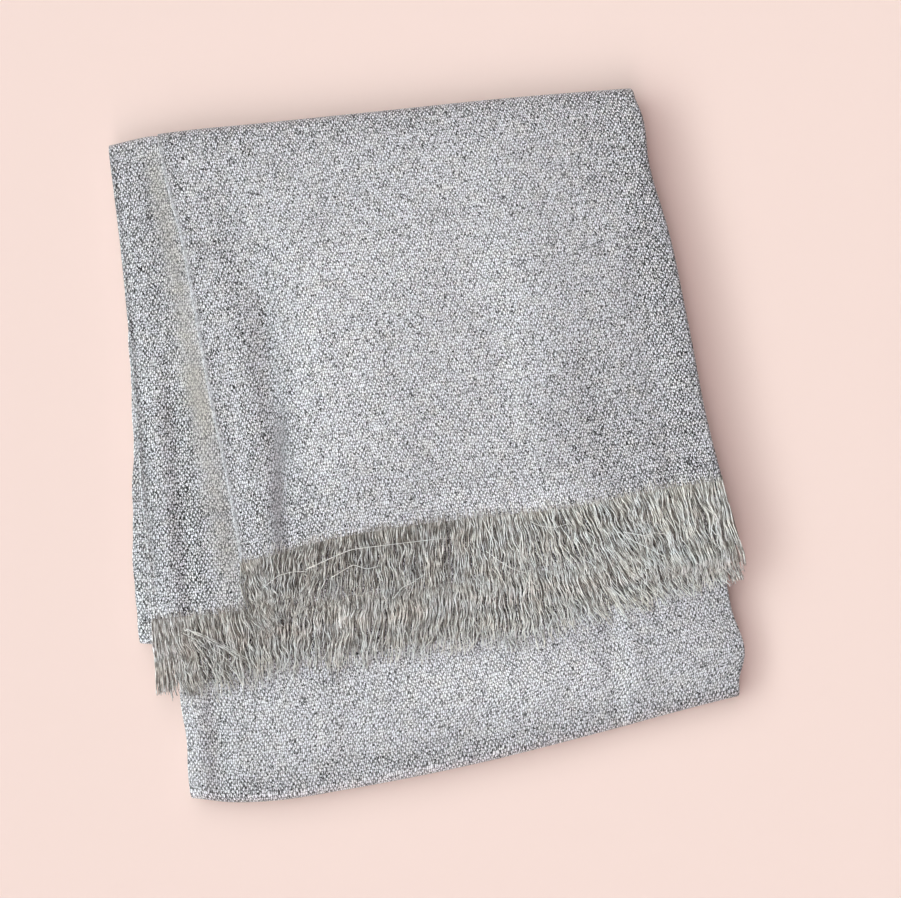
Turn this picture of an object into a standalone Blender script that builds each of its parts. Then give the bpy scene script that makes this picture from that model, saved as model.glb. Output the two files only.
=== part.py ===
"""A silver evening stole, folded and laid flat, its two fringed layers on top.

The stole is one woven length, about 660 mm wide. It is folded in half lengthwise, so the strip
has two plies, with a soft fold on the right and the two selvedges on the left. The strip is then
turned over on itself: two hidden runs lie between a front fold and a back fold, an inner turn
lies on them, and the last run, the flap, comes over the back fold and ends in its fringes.

Tables and sizes are in millimetres. X runs along the back fold, Y towards it, and Z is up. The
origin is on the surface that the stole lies on, below the middle of its outline.
"""

import math
from collections import namedtuple

import bmesh
import bpy
import numpy as np
from mathutils import Matrix, Vector

METRES = 0.001

# Cloth and stack
PLY = 1.4
SEAM_GAP = 0.3
UNDER_THICKNESS = 11.0
INNER_THICKNESS = 4.0
EDGE_DROOP_START = -178.0
EDGE_DROOP_RATE = 0.018

# Back fold, where both plies of the flap turn down to the surface
BACK_FOLD_DEPTH = 10.0
TUCK_CLEARANCE = 0.7
TUCK_DEPTH = 4.6

# Lengthwise fold on the right, which joins the flap's plies
SIDE_FOLD_RISE = 1.3
SIDE_FOLD_REACH = 30.0
SIDE_FOLD_RADIUS = (2 * PLY + SEAM_GAP + SIDE_FOLD_RISE) / 2
SIDE_FOLD_STEPS = 5
# The turned wall ends on the slant of its last step, so its inner corner reaches in this far
SIDE_FOLD_SLANT = PLY * math.sin(math.pi / (2 * SIDE_FOLD_STEPS))
# Passes that make a point's x and y agree, as each edge depends on the other
SETTLE_PASSES = 4

# Front fold of the hidden runs and of the inner turn
FRONT_ROUNDING = 7.0
INNER_ROUNDING = 3.0
BLUNT_EDGE = 0.5

# Fringes
STRIP_WIDTH = 2.2
UPPER_LOCKS = 92
LOWER_LOCKS = 104
UPPER_LOCK_STOPS = (0.5, 1.0)
LOWER_LOCK_STOPS = (0.19, 0.55, 1.0)
LOCK_SHARE = 0.56
LOCK_TAPER = 0.55
# Where the lower fringe leaves the inner turn's front fold, and how far on it lies flat
FALL_START = 1.0
FALL_LENGTH = 18.0

EdgeRow = namedtuple("EdgeRow", "y upper_left lower_left right")
FLAP_EDGES = (
    EdgeRow(y=-102, upper_left=-120, lower_left=-178, right=187),
    EdgeRow(y=-70, upper_left=-120, lower_left=-177, right=183),
    EdgeRow(y=-20, upper_left=-122, lower_left=-176, right=179),
    EdgeRow(y=36, upper_left=-126, lower_left=-173, right=178),
    EdgeRow(y=99, upper_left=-129, lower_left=-171, right=176),
    EdgeRow(y=147, upper_left=-132, lower_left=-170, right=171),
    EdgeRow(y=178, upper_left=-136, lower_left=-170, right=172),
    EdgeRow(y=205, upper_left=-138, lower_left=-170, right=165),
)

StackRow = namedtuple("StackRow", "y under_left under_right inner_left inner_right")
STACK_EDGES = (
    StackRow(y=-205, under_left=-170, under_right=172, inner_left=-184, inner_right=170),
    StackRow(y=-184, under_left=-170, under_right=172, inner_left=-184, inner_right=170),
    StackRow(y=-170, under_left=-169, under_right=178, inner_left=-184, inner_right=170),
    StackRow(y=-141, under_left=-168, under_right=175, inner_left=-184, inner_right=170),
    StackRow(y=-100, under_left=-168, under_right=175, inner_left=-189, inner_right=174),
    StackRow(y=-80, under_left=-169, under_right=173, inner_left=-189, inner_right=174),
    StackRow(y=-20, under_left=-170, under_right=172, inner_left=-182, inner_right=172),
    StackRow(y=44, under_left=-169, under_right=171, inner_left=-176, inner_right=171),
    StackRow(y=100, under_left=-168, under_right=169, inner_left=-171, inner_right=169),
    StackRow(y=150, under_left=-168, under_right=164, inner_left=-170, inner_right=164),
    StackRow(y=205, under_left=-168, under_right=159, inner_left=-169, inner_right=159),
)

LineRow = namedtuple("LineRow", "x back_fold front_fold inner_fold upper_hem lower_hem")
CROSS_LINES = (
    LineRow(x=-190, back_fold=209, front_fold=-203, inner_fold=-103, upper_hem=-71, lower_hem=-95),
    LineRow(x=-170, back_fold=210, front_fold=-205, inner_fold=-108, upper_hem=-71, lower_hem=-96),
    LineRow(x=-146, back_fold=212, front_fold=-211, inner_fold=-109, upper_hem=-71, lower_hem=-97),
    LineRow(x=-120, back_fold=213, front_fold=-214, inner_fold=-110, upper_hem=-70, lower_hem=-98),
    LineRow(x=-79, back_fold=212, front_fold=-214, inner_fold=-110, upper_hem=-64, lower_hem=-99),
    LineRow(x=10, back_fold=209, front_fold=-210, inner_fold=-110, upper_hem=-62, lower_hem=-101),
    LineRow(x=83, back_fold=206, front_fold=-203, inner_fold=-110, upper_hem=-65, lower_hem=-101),
    LineRow(x=146, back_fold=202, front_fold=-196, inner_fold=-110, upper_hem=-62, lower_hem=-102),
    LineRow(x=190, back_fold=198, front_fold=-192, inner_fold=-109, upper_hem=-62, lower_hem=-103),
)

FringeRow = namedtuple("FringeRow", "x upper_tip lower_tip upper_lean lower_lean")
FRINGE_LINES = (
    FringeRow(x=-178, upper_tip=-116, lower_tip=-138, upper_lean=8, lower_lean=5),
    FringeRow(x=-150, upper_tip=-116, lower_tip=-143, upper_lean=8, lower_lean=8),
    FringeRow(x=-118, upper_tip=-114, lower_tip=-142, upper_lean=9, lower_lean=4),
    FringeRow(x=-95, upper_tip=-104, lower_tip=-139, upper_lean=2, lower_lean=-1),
    FringeRow(x=-70, upper_tip=-103, lower_tip=-140, upper_lean=-7, lower_lean=-2),
    FringeRow(x=-35, upper_tip=-106, lower_tip=-142, upper_lean=-5, lower_lean=-1),
    FringeRow(x=0, upper_tip=-109, lower_tip=-141, upper_lean=-3, lower_lean=1),
    FringeRow(x=40, upper_tip=-109, lower_tip=-145, upper_lean=6, lower_lean=5),
    FringeRow(x=75, upper_tip=-106, lower_tip=-137, upper_lean=10, lower_lean=8),
    FringeRow(x=105, upper_tip=-108, lower_tip=-134, upper_lean=9, lower_lean=4),
    FringeRow(x=140, upper_tip=-118, lower_tip=-128, upper_lean=8, lower_lean=1),
    FringeRow(x=185, upper_tip=-118, lower_tip=-125, upper_lean=6, lower_lean=3),
)

# Soft folds: each is a ridge from one point to another, that high and that wide
Fold = namedtuple("Fold", "x0 y0 x1 y1 height width")
UNDER_FOLDS = (
    Fold(x0=-110, y0=-170, x1=20, y1=-176, height=0.9, width=26),
    Fold(x0=66, y0=-150, x1=52, y1=-176, height=0.9, width=24),
    Fold(x0=138, y0=-142, x1=150, y1=-168, height=1.0, width=22),
)
LOWER_FOLDS = (
    Fold(x0=-146, y0=140, x1=-142, y1=-80, height=0.9, width=16),
    Fold(x0=-40, y0=120, x1=-20, y1=-60, height=0.8, width=45),
)
UPPER_FOLDS = (
    Fold(x0=-60, y0=120, x1=-44, y1=-55, height=1.8, width=28),
    Fold(x0=22, y0=170, x1=10, y1=10, height=1.2, width=28),
    Fold(x0=80, y0=170, x1=100, y1=20, height=1.4, width=26),
)
FOLD_END_FADE = 22.0
BACK_FADE = 34.0

# Ply edges down each side of a stack: share of its height, and how far that ply is set in
SidePly = namedtuple("SidePly", "low high inset")
SELVEDGE_SIDE = (
    SidePly(low=0.00, high=0.20, inset=1.5),
    SidePly(low=0.27, high=0.46, inset=0.0),
    SidePly(low=0.53, high=0.72, inset=3.0),
    SidePly(low=0.79, high=1.00, inset=1.0),
)
FOLDED_SIDE = (
    SidePly(low=0.00, high=0.46, inset=1.0),
    SidePly(low=0.54, high=1.00, inset=0.0),
)
PLY_GROOVE = 3.2
FOLDED_BULGE = 2.2


def clear_scene():
    for existing in list(bpy.data.objects):
        bpy.data.objects.remove(existing, do_unlink=True)


def read_smoothly(rows, key, column, at):
    """Reads a table's column at any value of its key, on a smooth curve through its rows."""
    keys = np.array([getattr(row, key) for row in rows], float)
    values = np.array([getattr(row, column) for row in rows], float)
    slopes = np.gradient(values, keys)
    at = np.clip(np.asarray(at, float), keys[0], keys[-1])
    index = np.clip(np.searchsorted(keys, at) - 1, 0, len(keys) - 2)
    span = keys[index + 1] - keys[index]
    t = (at - keys[index]) / span
    return (
        values[index] * (2 * t**3 - 3 * t**2 + 1)
        + slopes[index] * span * (t**3 - 2 * t**2 + t)
        + values[index + 1] * (3 * t**2 - 2 * t**3)
        + slopes[index + 1] * span * (t**3 - t**2)
    )


def flap_edge(column, y):
    return read_smoothly(FLAP_EDGES, "y", column, y)


def stack_edge(column, y):
    return read_smoothly(STACK_EDGES, "y", column, y)


def cross_line(column, x):
    return read_smoothly(CROSS_LINES, "x", column, x)


def fringe_line(column, x):
    return read_smoothly(FRINGE_LINES, "x", column, x)


def smooth_step(t):
    t = np.clip(t, 0.0, 1.0)
    return t * t * (3 - 2 * t)


def fold_relief(folds, x, y):
    """Height added by soft ridges: a bell across each ridge, fading out past its two ends."""
    total = np.zeros(np.broadcast(x, y).shape)
    for fold in folds:
        dx, dy = fold.x1 - fold.x0, fold.y1 - fold.y0
        length = math.hypot(dx, dy)
        along = ((x - fold.x0) * dx + (y - fold.y0) * dy) / length
        across = ((x - fold.x0) * dy - (y - fold.y0) * dx) / length
        past = np.maximum(0, np.maximum(-along, along - length)) / FOLD_END_FADE
        total = total + fold.height * np.exp(-((across / fold.width) ** 2) - past**2)
    return total * smooth_step((turn_line(x) - y) / BACK_FADE)


def turn_line(x):
    """Where the flap stops being level and starts to turn down into the back fold."""
    return cross_line("back_fold", x) - BACK_FOLD_DEPTH


def under_top(x, y):
    """Top of the hidden runs; past their left edge the layers above sag from this line."""
    sag = EDGE_DROOP_RATE * np.minimum(0, x - EDGE_DROOP_START) ** 2
    return UNDER_THICKNESS + fold_relief(UNDER_FOLDS, x, y) - sag


def inner_top(x, y):
    return under_top(x, y) + SEAM_GAP + INNER_THICKNESS


def lower_ply_top(x, y):
    return inner_top(x, y) + SEAM_GAP + PLY + fold_relief(LOWER_FOLDS, x, y)


def side_fold_rise(x, y):
    start = flap_edge("right", y) - SIDE_FOLD_REACH
    return SIDE_FOLD_RISE * smooth_step((x - start) / (SIDE_FOLD_REACH - SIDE_FOLD_RADIUS))


def upper_ply_top(x, y):
    lift = fold_relief(UPPER_FOLDS, x, y) + side_fold_rise(x, y)
    return lower_ply_top(x, y) + SEAM_GAP + PLY + lift


def material(name, colour, roughness, metallic):
    made = bpy.data.materials.new(name)
    made.use_nodes = True
    shader = made.node_tree.nodes["Principled BSDF"]
    shader.inputs["Base Color"].default_value = (*colour, 1.0)
    shader.inputs["Roughness"].default_value = roughness
    shader.inputs["Metallic"].default_value = metallic
    return made


def finish_object(name, bm, finish, collection):
    bmesh.ops.recalc_face_normals(bm, faces=bm.faces)
    mesh = bpy.data.meshes.new(name)
    bm.to_mesh(mesh)
    bm.free()
    mesh.shade_smooth()
    mesh.set_sharp_from_angle(angle=math.radians(40))
    mesh.materials.append(finish)
    made = bpy.data.objects.new(name, mesh)
    collection.objects.link(made)
    return made


def ply_sheet(name, across, along, place, finish, collection):
    """One ply: a grid moved to its outer surface by place(), with its wall added inwards."""
    bm = bmesh.new()
    bmesh.ops.create_grid(
        bm, x_segments=len(across) - 1, y_segments=len(along) - 1, size=0.5
    )
    for vertex in bm.verts:
        column = round((vertex.co.x + 0.5) * (len(across) - 1))
        row = round((vertex.co.y + 0.5) * (len(along) - 1))
        vertex.co = [size * METRES for size in place(across[column], along[row])]
    made = finish_object(name, bm, finish, collection)
    wall = made.modifiers.new("wall", "SOLIDIFY")
    wall.thickness = PLY * METRES
    wall.offset = -1.0
    wall.use_even_offset = True
    wall.use_quality_normals = True
    return made


def turned_down(x, turn, set_in, top, reach, low):
    """A point on the back fold: half an ellipse from top to low, then set in along its normal."""
    middle, half = (top + low) / 2, (top - low) / 2
    y = turn_line(x) + (reach - set_in) * math.sin(turn)
    z = middle + (half - set_in) * math.cos(turn)
    return y, z


def flap_point(part, row, ply_top, left, right, hem, level):
    """A point on one ply of the flap. part is (share across, turn of the side fold); row is
    (share from the hem to the turn line, turn of the back fold); level is how many plies in."""
    share, side_turn = part
    run, back_turn = row
    y = 0.0
    for _ in range(SETTLE_PASSES):
        edge_left, edge_right = float(flap_edge(left, y)), float(right(y))
        x = edge_left + (edge_right - edge_left) * share
        y = float(cross_line(hem, x)) * (1 - run) + float(turn_line(x)) * run
    top = float(ply_top(x, y))
    set_in = SIDE_FOLD_RADIUS * (1 - math.cos(side_turn))
    out = SIDE_FOLD_RADIUS * math.sin(side_turn)
    if back_turn == 0:
        return x + out, y, top - set_in
    step_in = level * (PLY + SEAM_GAP)
    reach = BACK_FOLD_DEPTH - step_in
    y, z = turned_down(x, back_turn, set_in, top, reach, step_in)
    return x + out, y, z


def flap_rows(level_rows, turn_steps):
    level = [(run, 0.0) for run in np.linspace(0.0, 1.0, level_rows)]
    turned = [(1.0, math.pi * step / turn_steps) for step in range(1, turn_steps + 1)]
    return level + turned


def make_upper_ply(finish, collection):
    across = [(share, 0.0) for share in np.linspace(0.0, 1.0, 23)]
    across += [
        (1.0, math.pi * step / SIDE_FOLD_STEPS) for step in range(1, SIDE_FOLD_STEPS + 1)
    ]

    def right(y):
        return flap_edge("right", y) - SIDE_FOLD_RADIUS

    def place(part, row):
        return flap_point(part, row, upper_ply_top, "upper_left", right, "upper_hem", 0)

    rows = flap_rows(20, 7)
    return ply_sheet("flap_upper_ply", across, rows, place, finish, collection)


def make_lower_ply(finish, collection):
    across = [(share, 0.0) for share in np.linspace(0.0, 1.0, 20)]

    def right(y):
        return flap_edge("right", y) - SIDE_FOLD_RADIUS - SIDE_FOLD_SLANT - 2 * SEAM_GAP

    def place(part, row):
        return flap_point(part, row, lower_ply_top, "lower_left", right, "lower_hem", 1)

    rows = flap_rows(20, 7)
    return ply_sheet("flap_lower_ply", across, rows, place, finish, collection)


def tuck_limits(past):
    """Lowest and highest level free inside the back fold, that far past the turn line."""
    walls = 2 * (PLY + SEAM_GAP)
    full = UNDER_THICKNESS + INNER_THICKNESS + 2 * SEAM_GAP + walls
    half = full / 2 - walls
    reach = BACK_FOLD_DEPTH - walls
    rise = half * math.sqrt(max(0.0, 1 - (past / reach) ** 2))
    return full / 2 - rise + TUCK_CLEARANCE, full / 2 + rise - TUCK_CLEARANCE


def side_profile(plies, bulge):
    """(share of the height, distance set in) down one side: each ply's edge, then a groove."""
    points = []
    for ply in plies:
        middle = (ply.low + ply.high) / 2
        points += [(ply.low, ply.inset + bulge / 2), (middle, ply.inset), (ply.high, ply.inset + bulge / 2)]
        if ply.high < 1:
            next_low = min(other.low for other in plies if other.low > ply.high)
            points.append(((ply.high + next_low) / 2, ply.inset + PLY_GROOVE))
    return points


def stack_ring(run, shift, edges, front, low, top, rounding, columns):
    """One closed ring round a stack of plies, from its left side over the bottom to the right."""
    y_guess = -205 + 410 * run if front == "front_fold" else -108 + 312 * run
    left = float(stack_edge(edges + "_left", y_guess + shift))
    right = float(stack_edge(edges + "_right", y_guess + shift))
    selvedges = side_profile(SELVEDGE_SIDE, 1.0)
    folds = side_profile(FOLDED_SIDE, FOLDED_BULGE)
    bottom = [(share, 0.0, 0.0) for share in np.linspace(0.0, 1.0, columns)]
    right_side = [(1.0, height, -inset) for height, inset in folds]
    over = [(share, 1.0, 0.0) for share in np.linspace(1.0, 0.0, columns)]
    left_side = [(0.0, height, inset) for height, inset in reversed(selvedges)]
    right_inset, left_inset = folds[0][1], selvedges[0][1]
    ring = []
    for share, height, inset in bottom[1:-1] + right_side + over[1:-1] + left_side:
        x = left + left_inset + (right - right_inset - left - left_inset) * share
        if share == 1.0:
            x = right + inset
        if share == 0.0:
            x = left + inset
        start, back = float(cross_line(front, x)), float(turn_line(x)) + TUCK_DEPTH
        y = start * (1 - run) + back * run + shift
        floor, roof = float(low(x, y)), float(top(x, y))
        from_front = max(0.0, y - start)
        past = y - float(turn_line(x))
        if past > -TUCK_CLEARANCE:
            free_low, free_high = tuck_limits(max(0.0, past))
            floor, roof = max(floor, free_low), min(roof, free_high)
        if from_front < rounding:
            round_share = math.sqrt(1 - (1 - from_front / rounding) ** 2)
            middle, half = (floor + roof) / 2, (roof - floor) / 2
            half = max(BLUNT_EDGE, half * round_share)
            floor, roof = middle - half, middle + half
        ring.append((x, y, floor + (roof - floor) * height))
    return ring


def loft(rings):
    """A closed body through rings that all have the same number of points."""
    bm = bmesh.new()
    loops = [[bm.verts.new([size * METRES for size in point]) for point in ring] for ring in rings]
    count = len(loops[0])
    for before, after in zip(loops, loops[1:]):
        for i in range(count):
            j = (i + 1) % count
            bm.faces.new((before[i], before[j], after[j], after[i]))
    ends = [bm.faces.new(loops[0]), bm.faces.new(loops[-1])]
    bmesh.ops.triangulate(bm, faces=ends)
    return bm


def make_stack(name, edges, front, low, top, rounding, columns, rows, finish, collection):
    """A stack of plies as one rounded body, with a ply's edge or fold shown down each side."""
    stations = [(0.0, distance) for distance in (0.0, 0.12 * rounding, 0.45 * rounding, rounding)]
    stations += [(run, 0.0) for run in np.linspace(0.0, 1.0, rows + 1)[1:-1]]
    tuck = -TUCK_DEPTH
    stations += [(1.0, tuck - 12), (1.0, tuck - 0.6), (1.0, tuck - 0.3), (1.0, 0.45 * tuck), (1.0, 0.0)]
    rings = [
        stack_ring(run, shift, edges, front, low, top, rounding, columns)
        for run, shift in stations
    ]
    return finish_object(name, loft(rings), finish, collection)


def make_hidden_runs(finish, collection):
    return make_stack(
        "hidden_runs", "under", "front_fold", lambda x, y: 0.0, under_top,
        FRONT_ROUNDING, 20, 17, finish, collection,
    )


def make_inner_turn(finish, collection):
    return make_stack(
        "inner_turn", "inner", "inner_fold", lambda x, y: under_top(x, y) + SEAM_GAP, inner_top,
        INNER_ROUNDING, 20, 13, finish, collection,
    )


def fringe(name, locks, ends, hem, tip, lean, ply_top, rest_top, lock_stops, finish, collection):
    """A woven strip just off the hem, with locks of thread drawn out of its front face."""
    cells = 2 * locks + 1
    bm = bmesh.new()
    bmesh.ops.create_cube(bm, size=1.0)
    lengthwise = [
        edge for edge in bm.edges if abs(edge.verts[0].co.x - edge.verts[1].co.x) > 0.5
    ]
    bmesh.ops.subdivide_edges(bm, edges=lengthwise, cuts=cells - 1, use_grid_fill=True)
    lock_share = LOCK_SHARE * 2 / cells
    roots = sorted(
        (face for face in bm.faces if face.normal.y < -0.9),
        key=lambda face: face.calc_center_median().x,
    )[1::2]
    stops = [0.0]
    for cell in range(cells):
        stops.append(stops[-1] + (lock_share if cell % 2 else 2 / cells - lock_share))
    stops = np.array(stops) / stops[-1]

    def strip_point(share, back, lift):
        x = ends[0] + (ends[1] - ends[0]) * share
        y = float(cross_line(hem, x)) - SEAM_GAP - STRIP_WIDTH * (1 - back)
        reference = min(y + STRIP_WIDTH + SEAM_GAP, float(cross_line(hem, x)))
        z = float(ply_top(x, reference)) - PLY * (1 - lift)
        return x, y, z

    for vertex in bm.verts:
        share = stops[round((vertex.co.x + 0.5) * cells)]
        point = strip_point(share, vertex.co.y + 0.5, vertex.co.z + 0.5)
        vertex.co = [size * METRES for size in point]
    jitter = np.random.default_rng(7)
    for face in roots:
        corners = [vertex.co / METRES for vertex in face.verts]
        middle = sum(corners, corners[0] * 0) / len(corners)
        length = float(cross_line(hem, middle.x)) - float(fringe_line(tip, middle.x))
        length += jitter.uniform(-2.2, 1.2)
        swing = float(fringe_line(lean, middle.x)) + jitter.uniform(-0.25, 0.25)
        for share in lock_stops:
            face = bmesh.ops.extrude_discrete_faces(bm, faces=[face])["faces"][0]
            x = middle.x + swing * share**1.3
            y = middle.y - (length - STRIP_WIDTH) * share
            size = 1 - LOCK_TAPER * share
            rest = float(rest_top(x, y)) + SEAM_GAP + PLY * size / 2
            for vertex, corner in zip(face.verts, corners):
                offset = (corner - middle) * size
                height = min(rest, middle.z) + offset.z
                vertex.co = [(x + offset.x) * METRES, y * METRES, height * METRES]
    return finish_object(name, bm, finish, collection)


def lower_rest(x, y):
    """What the lower fringe lies on: the inner turn's front fold, then the hidden runs."""
    past = (float(cross_line("inner_fold", x)) - FALL_START - y) / FALL_LENGTH
    return under_top(x, y) + (INNER_THICKNESS + SEAM_GAP) * (1 - smooth_step(past))


def upper_rest(x, y):
    """What the upper fringe lies on: the flap's lower ply, and then the lower fringe's roots."""
    return lower_ply_top(x, max(y, float(cross_line("lower_hem", x))))


def centre_on_surface(made):
    """Moves the meshes so that the origin is below the middle of their outline."""
    graph = bpy.context.evaluated_depsgraph_get()
    corners = np.array([corner for each in made for corner in each.evaluated_get(graph).bound_box])
    low, high = corners.min(axis=0), corners.max(axis=0)
    shift = Vector((-(low[0] + high[0]) / 2, -(low[1] + high[1]) / 2, -low[2]))
    for each in made:
        each.data.transform(Matrix.Translation(shift))


def main():
    clear_scene()
    collection = bpy.data.collections.new("folded_evening_stole")
    bpy.context.scene.collection.children.link(collection)
    cloth = material("silver_weave", (0.60, 0.61, 0.63), 0.45, 0.5)
    thread = material("fringe_thread", (0.50, 0.48, 0.45), 0.55, 0.3)
    make_hidden_runs(cloth, collection)
    make_inner_turn(cloth, collection)
    make_lower_ply(cloth, collection)
    make_upper_ply(cloth, collection)
    fringe(
        "upper_fringe", UPPER_LOCKS, (-119.0, 180.0), "upper_hem", "upper_tip", "upper_lean",
        upper_ply_top, upper_rest, UPPER_LOCK_STOPS, thread, collection,
    )
    fringe(
        "lower_fringe", LOWER_LOCKS, (-177.0, 181.0), "lower_hem", "lower_tip", "lower_lean",
        lower_ply_top, lower_rest, LOWER_LOCK_STOPS, thread, collection,
    )
    centre_on_surface(list(collection.objects))


main()
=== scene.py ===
# %% [markdown]
# # A silver evening stole, folded flat
# The real object is one woven length of glittering cloth with a fringe at each end. It is folded
# in half lengthwise, and that doubled strip is folded on itself into a packet of about 37 by 43 cm.
# On top lies the last run, the flap: an upper ply, a lower ply that reaches out to the left and
# to the front of it, and the fringe of each.
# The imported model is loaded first. It is the fixed frame that every piece below is fitted to.

# %% Load the frame
import math

import bpy
import numpy as np
from mathutils import Matrix


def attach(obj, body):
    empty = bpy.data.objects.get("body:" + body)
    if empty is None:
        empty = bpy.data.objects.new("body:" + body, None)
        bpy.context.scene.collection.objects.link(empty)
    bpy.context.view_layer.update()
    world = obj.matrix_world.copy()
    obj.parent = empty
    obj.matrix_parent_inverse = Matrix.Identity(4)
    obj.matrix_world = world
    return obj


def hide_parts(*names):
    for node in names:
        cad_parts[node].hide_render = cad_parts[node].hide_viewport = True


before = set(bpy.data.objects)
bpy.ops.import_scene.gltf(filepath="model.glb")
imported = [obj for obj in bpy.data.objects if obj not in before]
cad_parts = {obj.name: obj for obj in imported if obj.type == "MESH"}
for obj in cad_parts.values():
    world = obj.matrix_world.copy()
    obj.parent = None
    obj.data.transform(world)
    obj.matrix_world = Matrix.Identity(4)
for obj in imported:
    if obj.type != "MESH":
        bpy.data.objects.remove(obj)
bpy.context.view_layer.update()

MM = 0.001
print("packed nodes:", ", ".join(sorted(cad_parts)))

# %% [markdown]
# ## The outlines, as short tables
# The edges of a folded cloth aren't straight: each wanders by a few millimetres. A table holds a
# row for each place where an edge was measured, in millimetres, and a smooth curve runs through
# the rows. That is far less to read than a list of mesh points, and one number moves an edge.
# FLAP and STACK give the x of each edge that runs away from the viewer, for a few values of y.
# LINES gives the y of each fold and hem for a few values of x. FRINGE does so for the threads' tips,
# with how far the threads lean to the right on the way there, and how light they are.
# The tables keep the places that they had before the packet was centred on its origin, so SHIFT
# moves every finished point into the frame.

# %% Edges of the plies and of the stack below them
SHIFT = np.array([2.3, 0.8, 0.0])

FLAP = {
    "y":           [-102, -70, -20, 36, 99, 147, 178, 205],
    "upper_left":  [-120, -120, -122, -126, -129, -132, -136, -138],
    "lower_left":  [-178, -177, -176, -173, -171, -170, -170, -170],
    "right":       [187, 183, 179, 178, 176, 171, 172, 165],
}
STACK = {
    "y":           [-205, -184, -170, -141, -100, -80, -20, 44, 100, 150, 205],
    "under_left":  [-170, -170, -169, -168, -168, -169, -170, -169, -168, -168, -168],
    "under_right": [172, 172, 178, 175, 175, 173, 172, 171, 169, 164, 159],
    "inner_left":  [-184, -184, -184, -184, -189, -189, -182, -176, -171, -170, -169],
    "inner_right": [170, 170, 170, 170, 174, 174, 172, 171, 169, 164, 159],
}
LINES = {
    "x":          [-190, -170, -146, -120, -79, 10, 83, 146, 190],
    "back_fold":  [210.5, 212.3, 214.6, 214.7, 212.8, 209, 206, 202, 198],
    "front_fold": [-203, -205, -211, -214, -214, -210, -203, -196, -192],
    "inner_fold": [-107.5, -111.5, -110.5, -110, -110, -110, -110, -110, -109],
    "upper_hem":  [-71, -71, -71, -70, -64, -62, -65, -62, -62],
    "lower_hem":  [-95, -96, -97, -98, -99, -101, -101, -102, -103],
}
FRINGE = {
    "x":          [-178, -150, -118, -95, -70, -35, 0, 40, 75, 105, 140, 185],
    "upper_tip":  [-116, -116, -114, -104, -103, -106, -109, -109, -106, -108, -118, -118],
    "lower_tip":  [-142, -145, -142, -139, -140, -142, -141, -145, -137, -134, -128, -125],
    "upper_lean": [12, 12, 9, -6, -11, -2, -5, 0, 8, 13, 10, 6],
    "lower_lean": [-2, 6, 1, -5, -7, -7, -7, -2, 8, 14, 7, 3],
    "upper_tone": [0.95, 0.95, 0.93, 0.92, 0.90, 0.90, 0.94, 1.28, 1.20, 1.12, 1.08, 1.0],
    "lower_tone": [1.05, 1.10, 1.22, 1.15, 1.20, 1.20, 1.25, 1.32, 1.32, 1.28, 1.15, 1.10],
}


def smooth(table, column, at):
    """A column at any value of the first one: a cubic between rows, whose slope at each row is
    the average slope of its neighbours. Past the ends it stays level."""
    keys = np.array(next(iter(table.values())), float)
    values = np.array(table[column], float)
    slopes = np.gradient(values, keys)
    at = np.clip(np.asarray(at, float), keys[0], keys[-1])
    i = np.clip(np.searchsorted(keys, at) - 1, 0, len(keys) - 2)
    span = keys[i + 1] - keys[i]
    t = (at - keys[i]) / span
    return (values[i] * (2 * t**3 - 3 * t**2 + 1) + slopes[i] * span * (t**3 - 2 * t**2 + t)
            + values[i + 1] * (3 * t**2 - 2 * t**3) + slopes[i + 1] * span * (t**3 - t**2))


def ease(t):
    """0 up to t = 0, 1 from t = 1, and 3t² - 2t³ between, so it starts and ends level."""
    t = np.clip(t, 0.0, 1.0)
    return t * t * (3 - 2 * t)


print("back fold: y from", LINES["back_fold"][1], "mm at the left to", LINES["back_fold"][-2], "mm at the right")

# %% [markdown]
# ## The relief
# A folded cloth is nearly flat, so its soft ridges and troughs are what the light shows. Each is
# a bell-shaped ridge along a line, with a height in millimetres, or a depth where it is negative.
# A few slow waves are added, so that no part is truly level. They all fade towards the back
# fold, where the cloth is pulled round.
# A cloth simulation would give folds of its own, in other places than the real ones, so these
# are listed.

# %% Ridges, troughs and slow waves
BACK_FOLD_DEPTH = 10.0  # how far the back fold's turn reaches, in mm
BACK_FADE = 34.0        # the relief fades over this length before the turn
RIDGE_END = 22.0        # and a ridge over this one, past each end of its line

UNDER_FOLDS = [
    # x0, y0, x1, y1, height, width
    (-110, -170, 20, -176, 0.9, 26), (66, -150, 52, -176, 0.9, 24), (138, -142, 150, -168, 1.0, 22),
    (-147, -140, -150, -200, -1.1, 5), (-158, -145, -160, -200, 0.7, 5), (101, -136, 95, -204, -0.9, 6),
    (112, -136, 108, -200, 0.6, 8), (-60, -150, -66, -196, -0.5, 9), (20, -152, 12, -190, -0.5, 10),
]
LOWER_FOLDS = [
    (-146, 140, -142, -80, 0.9, 16), (-40, 120, -20, -60, 0.8, 45),
    (-150, 30, -154, -99, -1.1, 5), (-160, 40, -163, -95, 0.6, 6), (-136, 60, -132, -60, 0.6, 8),
]
UPPER_FOLDS = [
    (-60, 120, -44, -55, 1.8, 28), (22, 170, 10, 10, 1.2, 28), (80, 170, 100, 20, 1.4, 26),
    (-86, 90, -88, -66, -1.2, 7), (-101, 70, -100, -60, 0.7, 9), (112, 20, 120, -40, -0.9, 16),
    (-20, 60, -8, -50, 0.6, 12), (52, 100, 60, -40, -0.5, 10), (150, 60, 152, -50, -0.7, 9),
]


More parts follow.
